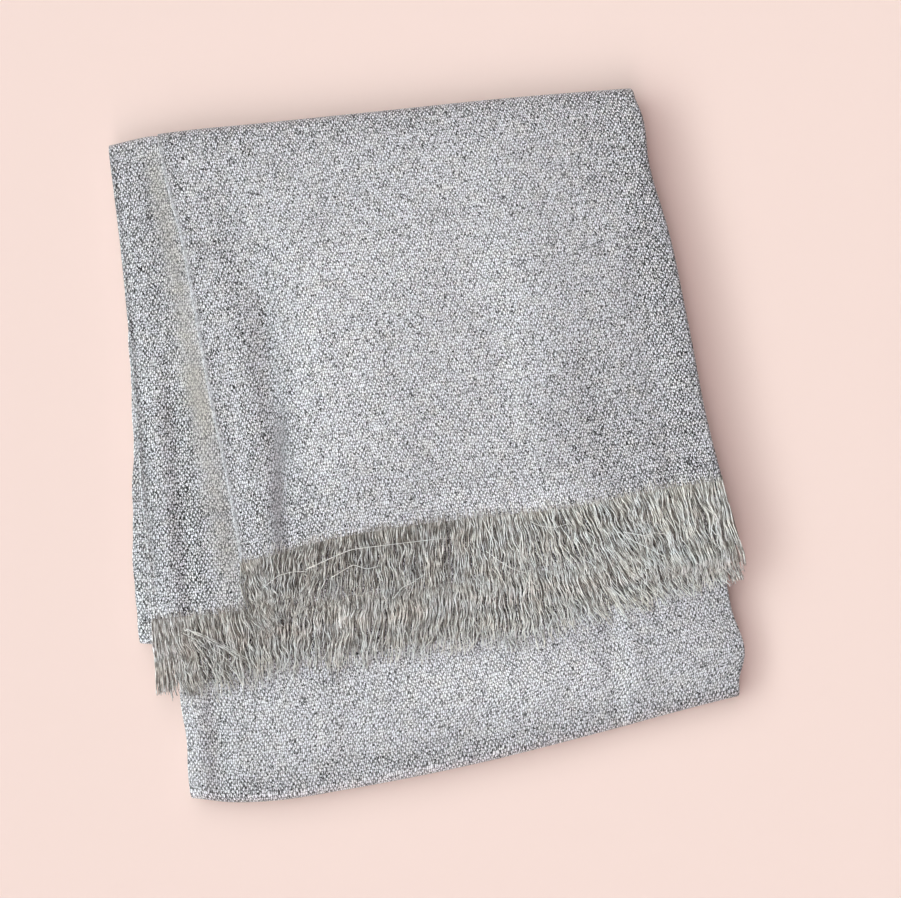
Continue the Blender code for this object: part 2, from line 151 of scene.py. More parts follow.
def ridges(folds, x, y):
    """The sum of the ridges: height times a bell across each line, and a bell past its ends."""
    total = np.zeros(np.broadcast(x, y).shape)
    for x0, y0, x1, y1, height, width in folds:
        length = math.hypot(x1 - x0, y1 - y0)
        along = ((x - x0) * (x1 - x0) + (y - y0) * (y1 - y0)) / length
        across = ((x - x0) * (y1 - y0) - (y - y0) * (x1 - x0)) / length
        past = np.maximum(0, np.maximum(-along, along - length)) / RIDGE_END
        total = total + height * np.exp(-((across / width) ** 2) - past**2)
    return total


def waves(x, y, seed, size, longest=95.0, shortest=22.0, count=14):
    """Slow unevenness: sines of many directions and lengths, each as high as it is long."""
    rng = np.random.default_rng(seed)
    total = np.zeros(np.broadcast(x, y).shape)
    for length in np.geomspace(longest, shortest, count):
        turn, phase = rng.uniform(0, math.pi), rng.uniform(0, 2 * math.pi)
        step = (x * math.cos(turn) + y * math.sin(turn)) * 2 * math.pi / length
        total = total + (length / longest) * np.sin(step + phase)
    return size * total / math.sqrt(count)


def near(distance, middle, width):
    """A bell: 1 at the middle, and e to the power of minus the squared distance in widths."""
    return np.exp(-(((distance - middle) / width) ** 2))


def turn_line(x):
    """Where the flap stops being level and starts to turn down into the back fold."""
    return smooth(LINES, "back_fold", x) - BACK_FOLD_DEPTH


def fade_back(x, y):
    """1 over the packet and 0 at the back fold."""
    return ease((turn_line(x) - y) / BACK_FADE)


print("ridges and troughs:", len(UNDER_FOLDS), "in front,", len(LOWER_FOLDS), "on the lower ply,",
      len(UPPER_FOLDS), "on the upper ply")

# %% [markdown]
# ## The height of each layer
# Each layer lies on the one below, so its height is that layer's height plus its own thickness
# and relief. These are the same sums as in the solids, which keeps every piece in its place.
# Near a cut edge a ply sinks onto what is below it, and a selvedge is rolled up a little.

# %% Heights, layer on layer
CLOTH = 0.75         # wall of one ply
UNDER_HEIGHT = 11.0  # the hidden runs
INNER_HEIGHT = 4.3   # the inner turn on top of them
PLY_STEP = 1.7       # from one ply of the flap to the next
SAG_EDGE, SAG_RATE = -178.0, 0.018
SIDE_RADIUS = 2.2    # the lengthwise fold's turn
SIDE_RISE, SIDE_REACH = 1.3, 30.0


def sink(distance, depth, over):
    """The depth at an edge, easing off to 0 over that many millimetres inwards."""
    return depth * (1 - ease(distance / over))


def under_top(x, y):
    """Top of the hidden runs: level, with its ridges, sagging left of the stack's edge."""
    sag = SAG_RATE * np.minimum(0, x - SAG_EDGE) ** 2
    return UNDER_HEIGHT + (ridges(UNDER_FOLDS, x, y) + waves(x, y, 3, 0.22)) * fade_back(x, y) - sag


def inner_top(x, y):
    """Top of the inner turn: the runs below it and its own four thin plies."""
    return under_top(x, y) + INNER_HEIGHT


def lower_top(x, y):
    """Top of the flap's lower ply, which settles by its own thickness at its front and left."""
    left = x - smooth(FLAP, "lower_left", y)
    sunk = sink(left, 0.9, 9.0) + sink(y - smooth(LINES, "lower_hem", x), 0.8, 9.0)
    sunk = sunk - 0.5 * near(left, 1.3, 1.1)
    relief = (ridges(LOWER_FOLDS, x, y) + waves(x, y, 5, 0.20)) * fade_back(x, y)
    return inner_top(x, y) + PLY_STEP + relief - sunk * fade_back(x, y)


def upper_top(x, y):
    """Top of the flap's upper ply, with a rise to the lengthwise fold and a rolled selvedge."""
    left = x - smooth(FLAP, "upper_left", y)
    behind_hem = y - smooth(LINES, "upper_hem", x)
    risen = SIDE_RISE * ease((x - smooth(FLAP, "right", y) + SIDE_REACH) / (SIDE_REACH - SIDE_RADIUS))
    sunk = sink(left, 0.7, 10.0) + sink(behind_hem, 0.8, 8.0)
    roll = 0.35 * near(left, 1.6, 1.5)
    relief = (ridges(UPPER_FOLDS, x, y) + waves(x, y, 8, 0.30)) * fade_back(x, y)
    return lower_top(x, y) + PLY_STEP + risen + relief + (roll - sunk) * fade_back(x, y)


print("flap's height at its middle: %.1f mm" % upper_top(0.0, 60.0))

# %% [markdown]
# ## Where the weave carries painted light, and is calmer or warmer
# The weave's colour carries painted light: a painted sheen over the flap's middle and in front,
# painted shade towards the rims, along the folds, in troughs and a crease, next to a selvedge and
# under each fringe, and a painted highlight along the upper ply's selvedge. In narrow bands the
# weave hardly glitters at all. Each such place is a bell along a line, as in the relief, with how
# much painted light, or how much calm, it adds in place of the height. Every sheet gets three
# numbers for each point: its painted light, how calm and how warm its weave is, the warmth next to
# the upper ply's selvedge and the mauve in its crease being painted shade as well. A painted
# picture could do this too, but these few rows can be read and moved.

# %% Painted light, calm and warm places
# In the three tables of painted light, a positive amount is a painted sheen in the weave's colour and a negative
# one painted shade.
UPPER_PAINTED_LIGHT = [
    (-57, 122, -74, -5, 0.05, 30), (30, 100, 30, -20, 0.04, 45), (-34, 112, -38, -8, 0.12, 28),
    (43, 152, 48, -18, 0.08, 34), (-84, 80, -90, -66, -0.12, 7), (178, 190, 182, -60, -0.14, 22),
    (158, 182, 158, -62, -0.18, 13), (138, 182, 136, 147, -0.12, 12), (113, 10, 125, -60, -0.10, 22),
    (-103, 152, -102, -62, -0.20, 7), (-80, 112, -80, -60, -0.10, 9), (-134, 190, -120, -70, -0.08, 12),
    (-130, 208, 160, 198, -0.08, 22), (-125, 209, 165, 198, -0.16, 9), (12, -50, 76, -57, 0.16, 8),
    (166, 150, 168, -60, -0.20, 6), (-79, 0, -79, -50, -0.10, 6), (100, -10, 140, -60, -0.08, 26),
]
# The crease's calm band is painted shade: duller and tinted mauve.
UPPER_CALM = [(-81, 70, -85, 5, 0.15, 5), (-86, 0, -97, -66, 0.50, 5)]
LOWER_PAINTED_LIGHT = [
    (-162, 190, -160, 115, -0.10, 9), (-169, 190, -171, -60, -0.24, 4),
    (-150, 190, -148, -60, -0.16, 6), (-152, 20, -156, -99, -0.14, 6), (-122, 99, -124, 35, 0.10, 8),
    (-143, 22, -145, -99, -0.20, 5), (-133, 77, -133, -8, 0.10, 6), (-155, -48, -155, -99, -0.10, 8),
]
# The first two rows are a warm painted shade next to the upper ply's selvedge; the last is the lower ply's own
# calm selvedge.
LOWER_CALM = [(-141, 180, -132, 40, 0.36, 7), (-134, 40, -128, -60, 0.30, 8), (-171, 200, -173, -60, 0.30, 3)]
UNDER_PAINTED_LIGHT = [
    (-110, -170, 80, -172, 0.04, 30), (-12, -160, 80, -170, 0.14, 16), (172, -110, 172, -190, -0.06, 12),
    (-181, 0, -188, -112, -0.26, 9), (-146, -175, -148, -206, -0.16, 4), (-150, -206, 170, -192, -0.13, 9),
    (-136, -158, -134, -205, -0.08, 6), (-150, -212, 170, -198, -0.08, 8),
]
# A painted shadow: under a fringe, the cloth's colour loses this share.
FRINGE_SHADE = 0.5  # share of a cloth's brightness that a fringe on it takes


def under_fringe(kind, x, y, start):
    """1 where a fringe keeps the light off the cloth below it, and 0 beside it."""
    hem, tip = smooth(LINES, kind + "_hem", x), smooth(FRINGE, kind + "_tip", x)
    return ease((hem - y) / 4.0) * ease((y - tip - 5.0) / 8.0) * ease((x - start) / 5.0)


def upper_shade(x, y):
    """The upper ply: a painted sheen in its middle and along part of its hem, painted shade towards
    its edges and along the back fold, a calm crease at its left with painted shade in it, and a
    smooth selvedge with a painted highlight along it and a row of painted shade next to it."""
    left = x - smooth(FLAP, "upper_left", y)
    calm = np.clip(ridges(UPPER_CALM, x, y), 0, 1)
    # The selvedge gets a painted highlight along it (edge) and a row of painted shade next to it.
    edge, beside = near(left, 1.0, 1.4), near(left, 6.0, 3.0)
    painted_light = 1.03 + ridges(UPPER_PAINTED_LIGHT, x, y) - 0.04 * calm + 0.16 * edge - 0.10 * beside
    return painted_light, np.maximum(calm, 0.6 * edge), -0.6 * calm


def lower_shade(x, y):
    """The lower ply: a little duller, with bands of painted shade and of painted sheen along it; calm
    and in a warm painted shade next to the upper ply's selvedge, calm but not warm along its own
    one, and in a painted shadow under the upper fringe where that lies on it."""
    calm = np.clip(ridges(LOWER_CALM, x, y), 0, 1)
    painted_light = 0.95 + ridges(LOWER_PAINTED_LIGHT, x, y) + 0.12 * calm
    shaded = painted_light * (1 - FRINGE_SHADE * under_fringe("upper", x, y, -118.0))
    return shaded, calm, 1.6 * calm * (x > -160)


def under_shade(x, y):
    """The stack's own runs: a painted sheen where they show in front, painted shade along the front fold, at the
    right and on the inner turn's sliver at the left, and a painted shadow under the lower fringe.
    """
    painted_light = 1.05 + ridges(UNDER_PAINTED_LIGHT, x, y)
    shaded = painted_light * (1 - FRINGE_SHADE * under_fringe("lower", x, y, -172.0))
    return shaded, 0.06 + 0 * x, 0 * x


print("brightness at the flap's middle: %.2f" % upper_shade(0.0, 60.0)[0])

# %% [markdown]
# ## From arrays to a mesh
# Every cloth here is a grid of points: rows along the strip and columns across it. One helper
# turns the grid into faces and gives it a UV map in metres, so that a weave drawn on that map
# has the same thread size everywhere and follows the cloth round its folds. Solidify then adds
# the wall, which keeps both faces and the cut edge.

# %% A grid of points becomes cloth
def quads(rows, columns):
    """Corner numbers of every cell of a grid, as one array."""
    first = (np.arange(rows - 1)[:, None] * columns + np.arange(columns - 1)).ravel()
    return np.stack([first, first + 1, first + columns + 1, first + columns], 1)


def distances(points, axis):
    """Length along the grid from its first row or column, so a UV map isn't stretched."""
    step = np.linalg.norm(np.diff(points, axis=axis), axis=2)
    pad = [(1, 0), (0, 0)] if axis == 0 else [(0, 0), (1, 0)]
    return np.cumsum(np.pad(step, pad), axis=axis)


def make_mesh(name, points, faces):
    """A mesh object with smooth faces, made from an array of points in millimetres."""
    mesh = bpy.data.meshes.new(name)
    mesh.from_pydata((points + SHIFT) * MM, [], faces)
    mesh.shade_smooth()
    mesh.validate()
    piece = bpy.data.objects.new(name, mesh)
    bpy.context.scene.collection.objects.link(piece)
    return piece


def cloth_sheet(name, points, shade, wall=CLOTH, uv_start=(0.0, 0.0), flip=False):
    """A thin cloth on a grid (rows, columns, 3), with its UV map in metres and its wall. shade
    gives the weave's painted light, and how calm and how warm it is, at any x and y."""
    rows, columns = points.shape[:2]
    faces = quads(rows, columns)
    if flip:
        faces = faces[:, ::-1]
    piece = make_mesh(name, points.reshape(-1, 3), faces.tolist())
    across = np.broadcast_to(distances(points, 1).mean(axis=0), (rows, columns))
    along = np.broadcast_to(distances(points, 0).mean(axis=1)[:, None], (rows, columns))
    uv = np.stack([across, along], 2).reshape(-1, 2) * MM + np.array(uv_start)
    weave_map = piece.data.uv_layers.new(name="weave")
    corner = np.empty(len(piece.data.loops), np.int32)
    piece.data.loops.foreach_get("vertex_index", corner)
    weave_map.data.foreach_set("uv", uv[corner].ravel())
    # Each point keeps the weave's painted light, calm and warmth for its material.
    painted_light_calm_tint = np.stack(np.broadcast_arrays(*shade(points[..., 0], points[..., 1])), 2)
    kept = piece.data.attributes.new("painted_light_calm_tint", "FLOAT_VECTOR", "POINT")
    kept.data.foreach_set("vector", painted_light_calm_tint.astype(np.float32).ravel())
    solid = piece.modifiers.new("wall", "SOLIDIFY")
    solid.thickness, solid.offset = wall * MM, -1.0
    print(f"{name}: {rows} x {columns} points, {across.max():.0f} x {along.max():.0f} mm of cloth")
    return piece


# %% [markdown]
# ## The flap's two plies
# The upper ply runs from its hem to the back fold and down behind the packet, and on the right it
# turns under, because the cloth's lengthwise fold is there. The lower ply is the other half of
# the same width, so it ends just inside that fold.
# A point on either is found from a share across and a share along. The edges depend on each
# other, as the left edge moves with y and the hem moves with x, so a few passes settle both.

# %% Points of a flap ply
COVERED_FROM, COVERED_OVER = -144.0, 10.0  # where the upper ply starts to lie outside the lower one


def spaced(length, step, fine=(0, 0.5, 1.0, 1.6, 2.4, 3.5, 5.0, 7.0)):
    """Shares from 0 to 1 along a length: close together at its start, then step by step."""
    rest = np.linspace(fine[-1], length, max(2, round((length - fine[-1]) / step)))[1:]
    return np.concatenate([np.array(fine), rest]) / length


def settle(share, run, left, right, start, end):
    """x and y at a share across and a share along: four passes between the edges' curves."""
    y = np.zeros(np.broadcast(share, run).shape)
    for _ in range(4):
        x = left(y) + (right(y) - left(y)) * share
        y = start(x) + (end(x) - start(x)) * run
    return x, y


def flap_points(share, side, run, back, left, right, hem, top, inset):
    """Points of a ply on a grid. share and side go across, the side fold's turn being an arc of
    SIDE_RADIUS; run and back go along, the back fold's turn being half an ellipse from the
    ply's top down to the surface, inset where there is a ply outside it."""
    share, side = share[None, :], side[None, :]
    run, back = run[:, None], back[:, None]
    x, y = settle(share, run, left, right, lambda x: smooth(LINES, hem, x), turn_line)
    height = top(x, y)
    inset = inset * ease((x - COVERED_FROM) / COVERED_OVER)
    depth = SIDE_RADIUS * (1 - np.cos(side))
    reach = BACK_FOLD_DEPTH - inset - depth
    middle, half = (height + inset) / 2, (height - inset) / 2 - depth
    z = np.where(back > 0, middle + half * np.cos(back), height - depth)
    y = y + reach * np.sin(back)
    return np.stack([x + SIDE_RADIUS * np.sin(side), y, z + 0 * x], 2)


def along_flap(length, step=2.6, turns=16):
    """Shares along the flap and then turns of the back fold, both for one column."""
    level = spaced(length, step)
    turned = np.linspace(0, math.pi, turns + 1)[1:]
    return np.concatenate([level, np.ones(turns)]), np.concatenate([0 * level, turned])


# %% The upper ply
SIDE_TURNS = 8
across = spaced(300, 2.6)
side = np.linspace(0, math.pi, SIDE_TURNS + 1)[1:]
upper_points = flap_points(
    np.concatenate([across, np.ones(SIDE_TURNS)]), np.concatenate([0 * across, side]), *along_flap(272),
    left=lambda y: smooth(FLAP, "upper_left", y),
    right=lambda y: smooth(FLAP, "right", y) - SIDE_RADIUS,
    hem="upper_hem", top=upper_top, inset=0.0)
upper_ply = cloth_sheet("upper_ply", upper_points, upper_shade)

# %% The lower ply
INSIDE_FOLD = 0.7  # the ply ends this far inside the lengthwise fold
across = spaced(352, 2.8)
lower_points = flap_points(
    across, 0 * across, *along_flap(310, 2.8),
    left=lambda y: smooth(FLAP, "lower_left", y),
    right=lambda y: smooth(FLAP, "right", y) - SIDE_RADIUS - INSIDE_FOLD,
    hem="lower_hem", top=lower_top, inset=PLY_STEP)
lower_ply = cloth_sheet("lower_ply", lower_points, lower_shade, uv_start=(0.4, 0.7))

# %% [markdown]
# ## The runs below the flap
# A doubled strip has two plies, joined by the lengthwise fold on the right and open at its two
# selvedges on the left. Where the strip itself is folded, it makes a U: its outer ply goes round
# the outside of the front fold and its inner ply goes round inside.
# So a point has two turns: one round the side fold, which says how deep inside the strip it is,
# and one round the front fold. From the side, the plies then show as separate thin edges.

# %% A doubled strip, folded in a U
LEVEL_ROWS, NOSE_ROWS = 95, 13  # rows of points along one run, and round its front fold


def hairpin(width, depth, step, bend=7):
    """Shares across a doubled strip, the turn of its side fold, and how deep each point lies:
    along the outer ply, half round the fold, and back along the inner ply."""
    out = spaced(width, step)
    turn = np.linspace(0, math.pi, bend + 2)[1:-1]
    share = np.concatenate([out, np.ones(bend), out[::-1]])
    side = np.concatenate([0 * out, turn, 0 * out + math.pi])
    return share, side, depth / 2 * (1 - np.cos(side))


def strip_u(kind, front, bottom, top, depth, nose, stagger, step, back_in=0.0):
    """Points of a doubled strip folded in a U. Along it: from the back over the top, half an
    ellipse round the front fold, and back along the bottom. depth is how thick the strip is, nose
    how far the front fold's turn reaches, and stagger sets the inner ply's selvedge in from the
    outer one's. Both selvedges wander by sums of two sines, so that no two edges run alike."""
    share, side, deep = (a[None, :] for a in hairpin(340, depth, step))
    level, turned = np.linspace(0, 1, LEVEL_ROWS), np.linspace(0, math.pi, NOSE_ROWS + 2)[1:-1]
    run = np.concatenate([level, np.ones(NOSE_ROWS), level[::-1]])[:, None]
    turn = np.concatenate([0 * level, turned, 0 * level + math.pi])[:, None]

    def left(y):
        wander = 0.7 * np.sin(y / 17.0 + side) + 0.5 * np.sin(y / 7.3 + 2.0 * side + turn)
        return smooth(STACK, kind + "_left", y) + stagger * side / math.pi + 1.2 + wander

    def right(y):
        return smooth(STACK, kind + "_right", y) - depth / 2 - 0.8 * np.sin(turn / 2)

    x, y = settle(share, run, left, right, lambda x: turn_line(x) + back_in * (turn < 1),
                  lambda x: smooth(LINES, front, x) + nose)
    low, high = bottom(x, y), top(x, y)
    middle, half = (low + high) / 2, (high - low) / 2 - deep
    z = middle + half * np.cos(turn)
    y = y - (nose - deep) * np.sin(turn)
    return np.stack([x + depth / 2 * np.sin(side), y, z], 2)


# %% The hidden runs and what is tucked between them
def floor_level(x, y):
    """The surface that the packet lies on."""
    return 0.0 * x


under_points = strip_u("under", "front_fold", floor_level, under_top,
                       depth=2.3, nose=6.5, stagger=2.6, step=3.4, back_in=4.0)
under_cloth = cloth_sheet("under_cloth", under_points, under_shade, uv_start=(0.9, 0.2), flip=True)


def core_points():
    """The tucked-in end: a doubled strip lying nearly level between the two runs, a little in
    from all their edges, and wavy by two slow sines."""
    share, side, deep = (a[None, :] for a in hairpin(335, 2.2, 7.0))
    run = np.linspace(0, 1, 60)[:, None]

    def left(y):
        return smooth(STACK, "under_left", y) + 3.0 + 2.0 * side / math.pi + 0.9 * np.sin(y / 12 + side)

    x, y = settle(share, run, left, lambda y: smooth(STACK, "under_right", y) - 4.5,
                  lambda x: turn_line(x) - 2, lambda x: smooth(LINES, "front_fold", x) + 11)
    z = 6.7 + 0.35 * np.sin(x / 31 + y / 47) + 0.25 * np.sin(y / 13) - deep
    return np.stack([x + 1.1 * np.sin(side), y, z], 2)


tucked_end = cloth_sheet("tucked_end", core_points(), under_shade, uv_start=(1.7, 0.4), flip=True)

# %% The inner turn, which shows as a sliver on the left
inner_points = strip_u("inner", "inner_fold", lambda x, y: under_top(x, y) + 0.3, inner_top,
                       depth=1.6, nose=2.2, stagger=1.8, step=3.4, back_in=3.0)
inner_cloth = cloth_sheet("inner_cloth", inner_points, under_shade, wall=0.6, uv_start=(1.3, 0.9), flip=True)

# %% [markdown]
# ## The fringes
# The end of the cloth is left unwoven, so its lengthwise threads hang out as a dense fringe. They
# are fine, a little wavy, and cling together in small locks. Hair curves would be easy here, but
# a mesh is what the exported model keeps, so each thread is a thin three-sided tube.
# All paths are worked out at once: an array of threads by points by three.

# %% What a thread lies on
def resting(kind, x, y):
    """Height of whatever lies below a thread. For the lower fringe that is the inner turn's top,
    falling past its front fold to the runs below. For the upper one it is the lower ply behind
    its hem, and past the hem the lower fringe."""
    past = ease((smooth(LINES, "inner_fold", x) + 0.5 - y) / 9.0)
    ground = under_top(x, y) + INNER_HEIGHT * (1 - past)
    if kind == "lower":
        return ground
    hem = smooth(LINES, "lower_hem", x)
    on_ply = lower_top(x, np.maximum(y, hem))
    over = ease((hem + 1.0 - y) / 6.0)
    return on_ply * (1 - over) + (ground + 1.9 * (1 - past) + 1.6) * over


def from_ply(kind, x, y, below):
    """Height along a thread: on the ply behind its hem, and down to what is below in 5 mm."""
    hem = smooth(LINES, kind + "_hem", x)
    top = upper_top if kind == "upper" else lower_top
    off = ease((hem + 0.5 - y) / 5.0)
    return (top(x, np.maximum(y, hem + 0.5)) - 0.1) * (1 - off) + below * off


# %% Paths of a fringe
POINTS = 24       # points along each thread
MOST_LOCKS = 128


def fringe_paths(rng, kind, count, ends, lift, root=(0.2, 1.2), rough=1.0, cling=0.9, lock=3.8,
                 reach=1.0):
    """Threads from a hem to its tips. Each lock has its own lean, curl, length and place, drawn
    once for all its threads. A thread starts root[0] to root[1] mm behind the hem, mostly near
    it, as the share between is squared. It leans as its row in the table says, bows by a half
    sine, is pulled towards the middle of its lock, waves by a sine and by a flow that it shares
    with its neighbours, and lies on what is below it. rough scales all the unevenness, cling the
    pull, lock is a lock's width, and reach is the share of the way to the tips. Near the
    fringe's ends the threads are calmer and nearly all reach the tips."""
    start = np.linspace(*ends, count) + rng.normal(0, 0.35, count) * (ends[1] - ends[0]) / count
    edge = np.minimum(start - ends[0] + (40.0 if kind == "upper" else 0.0), ends[1] - start)
    rough = rough * (0.35 + 0.65 * ease(edge / 12.0))
    reach = reach + (0.97 - reach) * (1 - ease(edge / 15.0))
    number = np.floor((start - ends[0]) / lock + rng.normal(0, 0.22, count))
    number = number.clip(0, MOST_LOCKS - 1).astype(int)
    own_lean, own_curl, own_length, own_place = rng.normal(0, 1, (4, MOST_LOCKS))[:, number]
    middle = ends[0] + (number + 0.5 + 0.3 * own_place) * lock
    share = np.linspace(0, 1, POINTS)[None, :]
    top_y = smooth(LINES, kind + "_hem", start) + root[0]
    top_y = top_y + (root[1] - root[0]) * rng.uniform(0, 1, count) ** 2
    uneven = (0.04 * own_length + rng.normal(0, 0.065, count)) * np.minimum(rough, 1.0)
    length = (top_y - smooth(FRINGE, kind + "_tip", start)) * reach * (0.98 + uneven)
    swing = smooth(FRINGE, kind + "_lean", start) + (1.5 * own_lean + rng.normal(0, 1.6, count)) * rough
    pull = (middle - start) * rng.uniform(0.1, 1.0, count) * cling
    curl = (0.8 * own_curl + rng.normal(0, 0.7, count)) * rough
    wave = (rng.normal(0, 0.5, count) * rough)[:, None] * np.sin(
        share * rng.uniform(8, 24, (count, 1)) + rng.uniform(0, 6, (count, 1)))
    y = top_y[:, None] - length[:, None] * share + 0.4 * wave
    flow = waves(start[:, None], y, 17, 0.9, 24.0, 7.0) * ease(share * 4)
    x = (start[:, None] + swing[:, None] * share**1.15 + pull[:, None] * ease(share)
         + curl[:, None] * np.sin(math.pi * share) + wave * share**0.4 + flow * rough[:, None])
    ripple = 0.6 * np.abs(rng.normal(0, 1, (count, 1))) * np.sin(share * rng.uniform(5, 16, (count, 1))) ** 2
    below = resting(kind, x, y) + lift * (0.5 + rng.uniform(0, 1, (count, 1))) + ripple
    return np.stack([x, y, from_ply(kind, x, y, below)], 2)


def drawn_paths(rng, kind, routes, spread, lift):
    """Threads laid along given routes: each route is a few (x, y) places, smoothed, with a small
    spread that is the thread's own."""
    keys = np.linspace(0, 1, routes.shape[1])
    share = np.linspace(0, 1, POINTS)
    bend = share + 0.05 * np.sin(2 * math.pi * share)
    flat = np.stack([[np.interp(bend, keys, route[:, axis]) for axis in (0, 1)] for route in routes])
    flat[:, :, 1:-1] = (flat[:, :, :-2] + 2 * flat[:, :, 1:-1] + flat[:, :, 2:]) / 4
    flat += rng.normal(0, spread, (len(routes), 2, 1)) * (0.4 + share)
    x, y = flat[:, 0], flat[:, 1]
    below = resting(kind, x, y) + lift
    return np.stack([x, y, from_ply(kind, x, y, below)], 2)


def thread_tones(rng, kind, paths, low, high, sparkle):
    """How light a thread is at each point: its own tone, with a painted sheen that rises and falls by
    a sine as the flat yarn twists, a little lighter to its tip, times its row in the table, and now
    and then a painted glint. Glints are more frequent past x = 60 and at the far left."""
    count, x = len(paths), paths[:, :, 0]
    share = np.linspace(0, 1, POINTS)
    twist_sheen = np.sin(share * rng.uniform(10, 44, (count, 1)) + rng.uniform(0, 6, (count, 1)))
    tone = rng.uniform(low, high, (count, 1)) * (0.78 + 0.42 * twist_sheen) * (0.86 + 0.28 * share)
    tone = tone * smooth(FRINGE, kind + "_tone", x)
    # Painted glints: now and then a point is made much lighter.
    often = sparkle * (0.3 + 1.6 * ease((x - 60.0) / 60.0) + 1.5 * ease((-145.0 - x) / 10.0))
    return tone + (rng.uniform(0, 1, tone.shape) < often)


# %% Tubes round the paths
def thread_tubes(name, layers, sides=3):
    """Tubes round many paths at once: each ring is the path's point plus the radius along two
    directions square to it. layers are (paths, radius, tone), and each point's tone is kept as
    an attribute for the material. The yarn is flat and twisted, so it is wider where it faces up
    and shines. A tube gets thinner to its tip."""
    paths = np.concatenate([part[0] for part in layers])
    thick = np.concatenate([np.full(len(part[0]), part[1]) for part in layers])
    tone = np.concatenate([part[2] for part in layers])
    facing = 0.72 + 0.34 * tone.clip(0, 2.4)
    count, points = paths.shape[:2]
    ahead = np.gradient(paths, axis=1)
    ahead /= np.linalg.norm(ahead, axis=2, keepdims=True)
    side = np.cross(ahead, [0.0, 0.0, 1.0])
    side /= np.linalg.norm(side, axis=2, keepdims=True)
    over = np.cross(side, ahead)
    turn = np.arange(sides) * 2 * math.pi / sides + math.pi / 2
    ring = side[:, :, None] * np.cos(turn)[:, None] + over[:, :, None] * np.sin(turn)[:, None]
    radius = thick[:, None] * facing * (1 - 0.4 * np.linspace(0, 1, points) ** 2)
    vertices = paths[:, :, None] + ring * radius[:, :, None, None]
    corner = np.arange(count * points * sides).reshape(count, points, sides)
    after = np.roll(corner, -1, axis=2)
    walls = np.stack([corner[:, :-1], after[:, :-1], after[:, 1:], corner[:, 1:]], 3).reshape(-1, 4)
    faces = walls[:, ::-1].tolist() + corner[:, 0].tolist() + corner[:, -1, ::-1].tolist()
    piece = make_mesh(name, vertices.reshape(-1, 3), faces)
    tones = piece.data.attributes.new("tone", "FLOAT", "POINT")
    tones.data.foreach_set("value", np.repeat(tone, sides).astype(np.float32))
    print(f"{name}: {count} threads, {count * (points - 1) * sides * 2} triangles")
    return piece


def layer(rng, kind, count, ends, lift, radius, tones, sparkle, **shape):
    """One layer of a fringe: its paths, its radius and its tones, from count threads between
    two ends, lifted off what is below by about lift millimetres."""
    paths = fringe_paths(rng, kind, count, ends, lift, **shape)
    return paths, radius, thread_tones(rng, kind, paths, *tones, sparkle)


# %% [markdown]
# ### Layers of threads
# A real fringe is shaded between its threads and light on top. So each fringe has a bed of short,
# dark, thick threads, whose dark tone is painted shade, a body of middle ones, and a few loose light
# ones over them. At its left end there is a tuft, and some strays that lie across the rest are laid
# from a few places each.

# %% The upper fringe
# The bed's dark tones are painted shade between the threads.
SHADE_BED = dict(root=(0.2, 4.5), rough=0.3, cling=0.0, reach=0.82)
BODY = dict(root=(0.2, 5.0), rough=1.0, cling=0.25)
LOOSE = dict(root=(0.3, 9.0), rough=1.6, cling=0.3)
SHADE_BED_TONES, BODY_TONES, LOOSE_TONES = (0.15, 0.50), (0.50, 1.20), (0.85, 1.45)

rng = np.random.default_rng(11)
ends = (-119.5, 181.5)
strays = np.array([
    [(-81, -79), (-52, -71), (-22, -72), (6, -73)], [(-66, -86), (-52, -80), (-44, -84), (-36, -83)],
    [(112, -84), (122, -92), (130, -97), (139, -104)], [(116, -85), (128, -89), (134, -88), (141, -90)],
    [(-30, -104), (-24, -98), (-18, -96), (-10, -92)], [(30, -84), (38, -92), (44, -97), (52, -101)],
    [(-108, -86), (-98, -80), (-90, -79), (-80, -80)], [(60, -70), (66, -74), (74, -76), (84, -75)],
], float)
stray_paths = drawn_paths(rng, "upper", strays, 0.3, 3.4)
upper_fringe = thread_tubes("upper_threads", [
    layer(rng, "upper", 480, ends, 0.1, 0.52, SHADE_BED_TONES, 0.0, **SHADE_BED),
    layer(rng, "upper", 45, (-121.0, -108.0), 1.0, 0.36, BODY_TONES, 0.04, root=(0.2, 3.0), rough=2.8, cling=0.2),
    layer(rng, "upper", 330, ends, 0.8, 0.36, BODY_TONES, 0.045, **BODY),
    layer(rng, "upper", 230, ends, 1.5, 0.33, LOOSE_TONES, 0.10, **LOOSE),
    (stray_paths, 0.30, np.full(stray_paths.shape[:2], 1.1)),
])

# %% The lower fringe
rng = np.random.default_rng(23)
ends = (-177.5, 181.5)
swept = np.array([
    [(-159, -104), (-149, -110), (-137, -119), (-126, -129)],
    [(-155, -110), (-150, -120), (-146, -129), (-143, -138)],
    [(-165, -114), (-161, -124), (-158, -133), (-156, -140)],
], float)
apart = np.array([(1.5, 0.5), (1.2, 1.4), (1.2, 2.0), (1.5, 3.2)])  # from each other, at each place
swept = np.repeat(swept, (9, 5, 4), axis=0)
swept = swept + rng.normal(0, 1, (len(swept), 1, 1)) * apart
swept_paths = drawn_paths(rng, "lower", swept, 0.5, 2.4)
lower_fringe = thread_tubes("lower_threads", [
    layer(rng, "lower", 560, ends, 0.1, 0.52, SHADE_BED_TONES, 0.0, **SHADE_BED),
    layer(rng, "lower", 60, (-178.5, -158.0), 0.4, 0.60, (0.30, 0.80), 0.06, rough=1.2, cling=0.2, reach=0.93),
    layer(rng, "lower", 390, ends, 0.8, 0.36, BODY_TONES, 0.02, **BODY),
    layer(rng, "lower", 270, ends, 1.5, 0.33, LOOSE_TONES, 0.05, **LOOSE),
    (swept_paths, 0.30, thread_tones(rng, "lower", swept_paths, 0.8, 1.15, 0.02)),
])
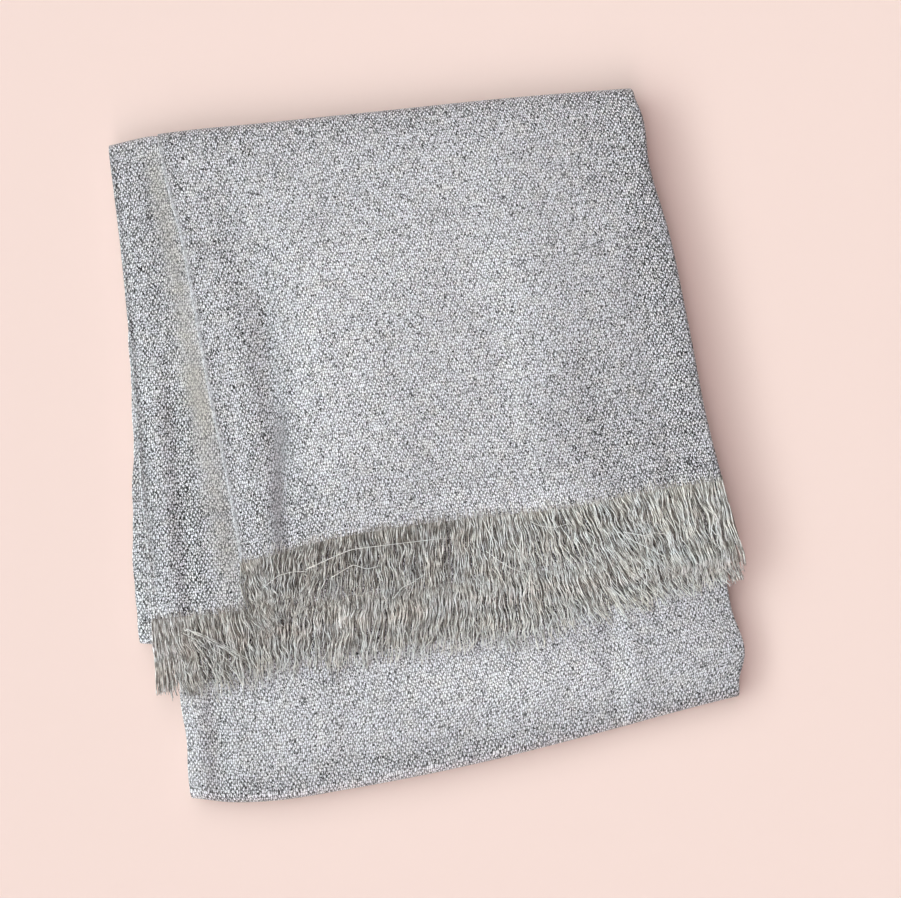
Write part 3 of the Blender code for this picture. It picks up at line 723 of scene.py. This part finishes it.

# %% [markdown]
# ## The cloth's weave, with painted glints and shade
# The cloth glitters because each crossing of its flat metallic threads catches the light in its
# own way, with dark gaps between. A picture of it can't be used, and threads as real meshes would
# take millions of faces, so the weave is drawn by nodes on the UV map in metres.
# A thread's crown is the sine of its place. Where the product of the two sines is positive, the
# light crosswise thread lies on top, and where it is negative, the darker lengthwise one: that is
# a plain weave. Each crossing is cut into small facets, as the flat yarn is, and a random number
# for each facet makes it brighter or duller than its neighbours: these are the metallic yarn's
# glints, painted into the colour. The gaps between the threads get painted shade.

# %% A small helper to write node sums
class Nodes:
    """Adds nodes to a material or world and links them, so a formula can be written in one line."""

    def __init__(self, owner, shader="Principled BSDF"):
        owner.use_nodes = True
        self.tree = owner.node_tree
        self.shader = self.tree.nodes[shader]

    def add(self, kind, **values):
        """A node of that kind. A key such as i0 stands for the node's first input, which takes a
        number or a link, and any other key is a setting of the node."""
        node = self.tree.nodes.new(kind)
        for key, value in values.items():
            socket = node.inputs[int(key[1:])] if key[0] == "i" and key[1:].isdigit() else None
            if socket is None:
                setattr(node, key, value)
            elif isinstance(value, bpy.types.NodeSocket):
                self.tree.links.new(value, socket)
            else:
                socket.default_value = value
        return node

    def math(self, operation, a, b=0.0, c=0.0):
        """The result of one math node."""
        return self.add("ShaderNodeMath", operation=operation, i0=a, i1=b, i2=c).outputs[0]

    def link(self, socket, name):
        """Feeds a result to one of the shader's own inputs."""
        self.tree.links.new(socket, self.shader.inputs[name])


def ramp(nodes, factor, stops):
    """A colour ramp: stops are (place, colour)."""
    node = nodes.add("ShaderNodeValToRGB", i0=factor)
    band = node.color_ramp.elements
    while len(band) < len(stops):
        band.new(0.5)
    for element, (place, colour) in zip(band, stops):
        element.position, element.color = place, (*colour, 1.0)
    return node.outputs[0]


# %% The woven cloth
WARP_PITCH, WEFT_PITCH = 1.21 * MM, 1.93 * MM  # lengthwise threads, and crosswise ones
DRIFT_SCALE, DRIFT = 110.0, 2.4                # the threads wander by this many of themselves
GROUND, DARK, LIGHT = 1.12, 0.76, 0.31         # tone, less for a warp crossing, more for a weft one
WARP_POWER = 0.65
# The gaps' darkness is painted shade between the threads.
GAP_ACROSS, GAP_ALONG = 0.84, 0.72             # how dark the gaps beside the two threads are
GAP_POWER_ACROSS, GAP_POWER_ALONG = 7.0, 9.0   # and how narrow
# The facets' random tones are painted glints of the metallic yarn.
FACET, GLITTER = 2.0, 1.1                      # how unlike each other large and small facets are
BRIGHTEST, CALM_TONE = 0.95, 0.37
# Below PLAIN_BRIGHT the painted light is painted shade, which DULL_POWER puts mostly in the gaps; above it, a
# painted sheen.
PLAIN_BRIGHT, DULL_POWER = 1.03, 2.2
COOL, WARM, MAUVE = (0.925, 0.943, 1.0), (1.0, 0.99, 0.93), (1.0, 0.94, 0.98)


def speck(n, a, b, across, along):
    """A random number from 0 to 1 for each facet, with across by along facets to a crossing."""
    piece = n.add("ShaderNodeCombineXYZ", i0=n.math("FLOOR", n.math("MULTIPLY", a, across)),
                  i1=n.math("FLOOR", n.math("MULTIPLY", b, along)), i2=across + along).outputs[0]
    return n.add("ShaderNodeTexWhiteNoise", i0=piece).outputs[0]


def woven(name):
    """A plain weave. Across and along, the threads are sines, whose product is above zero where
    the weft lies on top and below zero where the warp does. The ground's tone gains a share of
    the first and loses a power of the second, each times the crossing's own random number, a
    painted glint, and a power of the cosine paints shade in the gaps next to each thread. Two
    random numbers, for large and for small facets, multiply it as painted glints. The sheet's
    attribute of painted light, calm and tint then draws the tone towards one level where the
    cloth is calm, takes it to a power where the painted light is dull, which darkens its gaps
    more than its glints, scales it up where the painted light is strong, and picks a tint
    between cool, warm and mauve, the warm and the mauve being partly painted shade."""
    material = bpy.data.materials.new(name)
    n = Nodes(material)
    uv = n.add("ShaderNodeUVMap", uv_map="weave").outputs[0]
    painted_light_calm_tint = n.add("ShaderNodeAttribute", attribute_name="painted_light_calm_tint").outputs["Vector"]
    painted_light_calm_tint = n.add("ShaderNodeSeparateXYZ", i0=painted_light_calm_tint).outputs
    slow = n.add("ShaderNodeTexNoise", i0=uv, i2=DRIFT_SCALE, i3=2.0).outputs["Color"]
    drift = n.add("ShaderNodeSeparateColor", i0=slow).outputs
    split = n.add("ShaderNodeSeparateXYZ", i0=uv).outputs
    a = n.math("ADD", n.math("DIVIDE", split[0], WARP_PITCH), n.math("MULTIPLY", drift[0], DRIFT))
    b = n.math("ADD", n.math("DIVIDE", split[1], WEFT_PITCH), n.math("MULTIPLY", drift[1], DRIFT))
    turn_a, turn_b = n.math("MULTIPLY", a, math.pi), n.math("MULTIPLY", b, math.pi)
    product = n.math("MULTIPLY", n.math("SINE", turn_a), n.math("SINE", turn_b))
    # Each crossing's own random number: a painted glint.
    chance = speck(n, a, b, 1.0, 1.0)
    weft = n.math("MAXIMUM", product, 0.0)
    weft = n.math("MULTIPLY", weft, n.math("MULTIPLY_ADD", chance, LIGHT, 0.5 * LIGHT))
    warp = n.math("POWER", n.math("MAXIMUM", n.math("MULTIPLY", product, -1.0), 0.0), WARP_POWER)
    warp = n.math("MULTIPLY", warp, n.math("MULTIPLY_ADD", chance, 0.8 * DARK, 0.6 * DARK))
    relief = n.math("SUBTRACT", n.math("ADD", weft, GROUND), warp)
    gap_a = n.math("POWER", n.math("ABSOLUTE", n.math("COSINE", turn_a)), GAP_POWER_ACROSS)
    gap_b = n.math("POWER", n.math("ABSOLUTE", n.math("COSINE", turn_b)), GAP_POWER_ALONG)
    relief = n.math("MULTIPLY", relief, n.math("MULTIPLY_ADD", gap_a, -GAP_ACROSS, 1.0))
    relief = n.math("MULTIPLY", relief, n.math("MULTIPLY_ADD", gap_b, -GAP_ALONG, 1.0))
    # Two random numbers per facet: painted glints.
    facet = n.math("POWER", speck(n, a, b, 2.0, 2.0), 0.5)
    lively = n.math("MULTIPLY_ADD", facet, FACET, 1.0 - 0.667 * FACET)
    glint = n.math("MULTIPLY_ADD", speck(n, a, b, 3.0, 4.0), GLITTER, 1.0 - 0.5 * GLITTER)
    lively = n.math("MULTIPLY", lively, glint)
    tone = n.math("MINIMUM", n.math("MAXIMUM", n.math("MULTIPLY", relief, lively), 0.01), BRIGHTEST)
    # The sheet's painted light: a calm place glitters less, a dull one gets painted shade, a strong one a painted
    # sheen.
    calm = n.math("SUBTRACT", 1.0, painted_light_calm_tint[1])
    tone = n.math("MULTIPLY_ADD", n.math("SUBTRACT", tone, CALM_TONE), calm, CALM_TONE)
    dull = n.math("MAXIMUM", n.math("SUBTRACT", PLAIN_BRIGHT, painted_light_calm_tint[0]), 0.0)
    tone = n.math("POWER", tone, n.math("MULTIPLY_ADD", dull, DULL_POWER, 1.0))
    tone = n.math("MULTIPLY", tone, n.math("MAXIMUM", painted_light_calm_tint[0], PLAIN_BRIGHT))
    warmth = n.math("ADD", painted_light_calm_tint[2], n.math("MULTIPLY_ADD", drift[2], 1.2, -0.48))
    tint = n.add("ShaderNodeMix", data_type="VECTOR", i0=warmth, i4=COOL, i5=WARM)
    mauve = n.math("MULTIPLY", warmth, -1.0)
    tint = n.add("ShaderNodeMix", data_type="VECTOR", i0=mauve, i4=tint.outputs[1], i5=MAUVE)
    colour = n.add("ShaderNodeVectorMath", operation="SCALE", i0=tint.outputs[1], i3=tone).outputs[0]
    n.link(colour, "Base Color")
    bump = n.add("ShaderNodeBump", i0=0.3, i1=0.2 * MM, i3=relief)
    n.link(bump.outputs[0], "Normal")
    n.shader.inputs["Roughness"].default_value = 0.5
    n.shader.inputs["Metallic"].default_value = 0.25
    print(f"{name}: {len(n.tree.nodes)} nodes")
    return material


silver_cloth = woven("silver_cloth")


# %% [markdown]
# ## The loose threads' colour, with painted shade and glints
# Out of the weave, the yarn is seen from all its sides, so the fringe is a warmer grey than the cloth.
# Each thread's tone, kept at its points with its painted sheen and glints, picks a colour on a ramp
# whose brown foot is painted shade between the threads. One colour for all would look like plastic,
# and a picture isn't needed for something this thin.

# %% The loose threads
# The brown at the ramp's foot is painted shade between the threads; the silver at its top shows the painted
# glints.
GAP_SHADE_BROWN, THREAD_GREY, THREAD_SILVER = (0.080, 0.064, 0.050), (0.45, 0.428, 0.405), (0.97, 0.97, 0.97)
COOL_HUE, WARM_HUE = (0.97, 1.0, 1.0), (1.0, 0.985, 0.93)


def threads(name):
    """Thin threads: the tone at each point, plus a fine noise that breaks it up, picks a colour
    from the brown of painted shade between threads to silver, which shows the painted glints. A
    slow noise, of patches 1 cm wide, then tints it cool or warm."""
    material = bpy.data.materials.new(name)
    n = Nodes(material)
    tone = n.add("ShaderNodeAttribute", attribute_name="tone").outputs["Fac"]
    place = n.add("ShaderNodeTexCoord").outputs["Object"]
    fine = n.add("ShaderNodeTexNoise", i0=place, i2=900.0, i3=1.0).outputs[0]
    mixed = n.math("ADD", tone, n.math("MULTIPLY_ADD", fine, 0.5, -0.25))
    shade = ramp(n, mixed, [(0.0, GAP_SHADE_BROWN), (0.45, THREAD_GREY), (1.0, THREAD_SILVER)])
    patch = n.add("ShaderNodeTexNoise", i0=place, i2=75.0, i3=2.0).outputs[0]
    hue = n.add("ShaderNodeMix", data_type="VECTOR", i0=n.math("MULTIPLY_ADD", patch, 3.0, -1.0),
                i4=COOL_HUE, i5=WARM_HUE)
    colour = n.add("ShaderNodeVectorMath", operation="MULTIPLY", i0=shade, i1=hue.outputs[1])
    n.link(colour.outputs[0], "Base Color")
    n.shader.inputs["Roughness"].default_value = 0.45
    n.shader.inputs["Metallic"].default_value = 0.10
    print(f"{name}: {len(n.tree.nodes)} nodes")
    return material


silver_thread = threads("silver_thread")
for piece in (upper_ply, lower_ply, under_cloth, tucked_end, inner_cloth):
    piece.data.materials.append(silver_cloth)
for piece in (upper_fringe, lower_fringe):
    piece.data.materials.append(silver_thread)

# %% [markdown]
# ## Which piece stands for which solid
# Each cloth and fringe takes the place of its solid in the imported model, and rides on the row's
# one body.

# %% Ride and replace
pieces = {
    upper_ply: ("cloth", "flap_upper_ply"), lower_ply: ("cloth", "flap_lower_ply"),
    inner_cloth: ("cloth", "inner_turn"), under_cloth: ("cloth", "hidden_runs"),
    tucked_end: ("cloth", "hidden_runs"),
    upper_fringe: ("thread", "upper_fringe"), lower_fringe: ("thread", "lower_fringe"),
}
for piece, (slot, node) in pieces.items():
    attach(piece, "root")
    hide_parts(node)

# %% [markdown]
# ## The floor
# The stole lies on a plain pale surface, which is one large square.

# %% The floor
floor_mesh = bpy.data.meshes.new("floor")
floor_mesh.from_pydata([(-4, -4, 0), (4, -4, 0), (4, 4, 0), (-4, 4, 0)], [], [(0, 1, 2, 3)])
floor = bpy.data.objects.new("floor", floor_mesh)
bpy.context.scene.collection.objects.link(floor)
floor_finish = bpy.data.materials.new("pale_pink_floor")
pale = Nodes(floor_finish)
pale.shader.inputs["Base Color"].default_value = (0.86, 0.69, 0.635, 1.0)
pale.shader.inputs["Roughness"].default_value = 0.9
pale.shader.inputs["Specular IOR Level"].default_value = 0.1
floor_mesh.materials.append(floor_finish)
print("floor: 8 x 8 m")

# %% [markdown]
# ## The light
# The shadow shows on the right, fades evenly over 5 cm, and is much narrower at the back and in
# front. That is what a wide soft panel on the left gives. A panel close by would leave a bright spot
# on the floor, so it is painted on the sky instead: a direction leaves the floor and meets a level
# plane one metre up at a place, and the panel is a range of such places. Divided by the fourth
# power of the direction's height, each part of the panel gives the floor the same light.
# A strip overhead, from behind to in front, adds the rest. The shadow that it alone lights is
# pinker than the floor in full light, so the strip is a little pink and the panel a little green.
# A pale band round the horizon is what the low views see behind the floor.

# %% The light
TURN = math.radians(8.5)
PICTURE_RIGHT = (math.cos(TURN), -math.sin(TURN), 0.0)
PICTURE_AWAY = (math.sin(TURN), math.cos(TURN), 0.0)
PANEL_STRENGTH, AMBIENT = 0.310, 0.05
PANEL_BEGINS, PANEL_ENDS = (-0.1, 0.25), (1.6, 3.2)  # metres to the left, each a soft edge
STRIP_GAIN = 2.4                                     # overhead strip against the panel
LOWEST = 0.05                                        # the heights below this one count as this
HORIZON_EDGE, HORIZON_STRENGTH = (0.02, 0.12), 0.8
SIDE_COLOUR, REST_COLOUR = (0.94, 1.09, 1.075), (1.07, 0.90, 0.91)

studio = bpy.data.worlds.new("studio")
sky = Nodes(studio, "Background")
look = sky.add("ShaderNodeTexCoord").outputs["Generated"]


def toward(direction):
    """How far the looked-at direction points along another one: their dot product."""
    return sky.add("ShaderNodeVectorMath", operation="DOT_PRODUCT", i0=look, i1=direction).outputs["Value"]


def rise(value, low, high):
    """0 below low, 1 above high, and a smooth step between."""
    node = sky.add("ShaderNodeMapRange", i0=value, i1=low, i2=high)
    node.interpolation_type = "SMOOTHSTEP"
    return node.outputs[0]


def bell(value, middle, width):
    """1 at the middle, and e to the power of minus the squared distance in widths elsewhere."""
    away = sky.math("DIVIDE", sky.math("SUBTRACT", value, middle), width)
    return sky.math("EXPONENT", sky.math("MULTIPLY", sky.math("MULTIPLY", away, away), -1.0))


upward = toward((0.0, 0.0, 1.0))
height = sky.math("MAXIMUM", upward, LOWEST)
to_left = sky.math("DIVIDE", sky.math("MULTIPLY", toward(PICTURE_RIGHT), -1.0), height)
to_back = sky.math("DIVIDE", toward(PICTURE_AWAY), height)
side_panel = sky.math("MULTIPLY", rise(to_left, *PANEL_BEGINS),
                      sky.math("SUBTRACT", 1.0, rise(to_left, *PANEL_ENDS)))
side_panel = sky.math("MULTIPLY", side_panel, bell(to_back, -0.1, 1.6))
overhead_strip = sky.math("MULTIPLY", bell(to_left, 0.0, 0.28), bell(to_back, -0.35, 1.8))
panel = sky.math("MULTIPLY_ADD", overhead_strip, STRIP_GAIN, side_panel)
panel = sky.math("DIVIDE", sky.math("MULTIPLY", panel, PANEL_STRENGTH), sky.math("POWER", height, 4.0))
horizon = sky.math("SUBTRACT", 1.0, rise(sky.math("ABSOLUTE", upward), *HORIZON_EDGE))
rest = sky.math("MULTIPLY_ADD", horizon, HORIZON_STRENGTH, AMBIENT)
sky.link(sky.math("ADD", panel, rest), "Strength")

# %% The light's two colours, mixed by the panel's share of it
all_light = sky.math("MULTIPLY_ADD", overhead_strip, STRIP_GAIN, sky.math("ADD", side_panel, 0.1))
share = sky.math("DIVIDE", side_panel, all_light)
tint = sky.add("ShaderNodeMix", data_type="RGBA", i0=share, i6=(*REST_COLOUR, 1.0), i7=(*SIDE_COLOUR, 1.0))
sky.link(tint.outputs[2], "Color")
bpy.context.scene.world = studio
bpy.context.scene.view_settings.view_transform = "Standard"
print("sky:", len(sky.tree.nodes), "nodes")

# %% [markdown]
# ## The camera
# The stole was seen from nearly straight above. The camera leans 9 degrees towards the viewer and is
# turned by TURN, because the packet lies aslant in the picture. Its lens is given as the focal
# length in pixels of a picture 901 pixels wide, which is what the perspective of the packet fits.

# %% The camera
TARGET = np.array([0.0203, -0.0172, 0.020])
DISTANCE, TILT = 1.0, math.radians(9.0)
SENSOR, FOCAL_PIXELS, PICTURE_PIXELS = 36.0, 1613, 901
right, away = np.array(PICTURE_RIGHT), np.array(PICTURE_AWAY)
up = math.cos(TILT) * away + math.sin(TILT) * np.array([0, 0, 1.0])
back = math.cos(TILT) * np.array([0, 0, 1.0]) - math.sin(TILT) * away
lens = bpy.data.cameras.new("camera")
lens.sensor_width, lens.lens = SENSOR, SENSOR * FOCAL_PIXELS / PICTURE_PIXELS
camera = bpy.data.objects.new("camera", lens)
camera.matrix_world = Matrix.Translation(TARGET + back * DISTANCE) @ Matrix(
    np.stack([right, up, back], 1).tolist()).to_4x4()
bpy.context.scene.collection.objects.link(camera)
bpy.context.scene.camera = camera
print("lens: %.1f mm" % lens.lens)
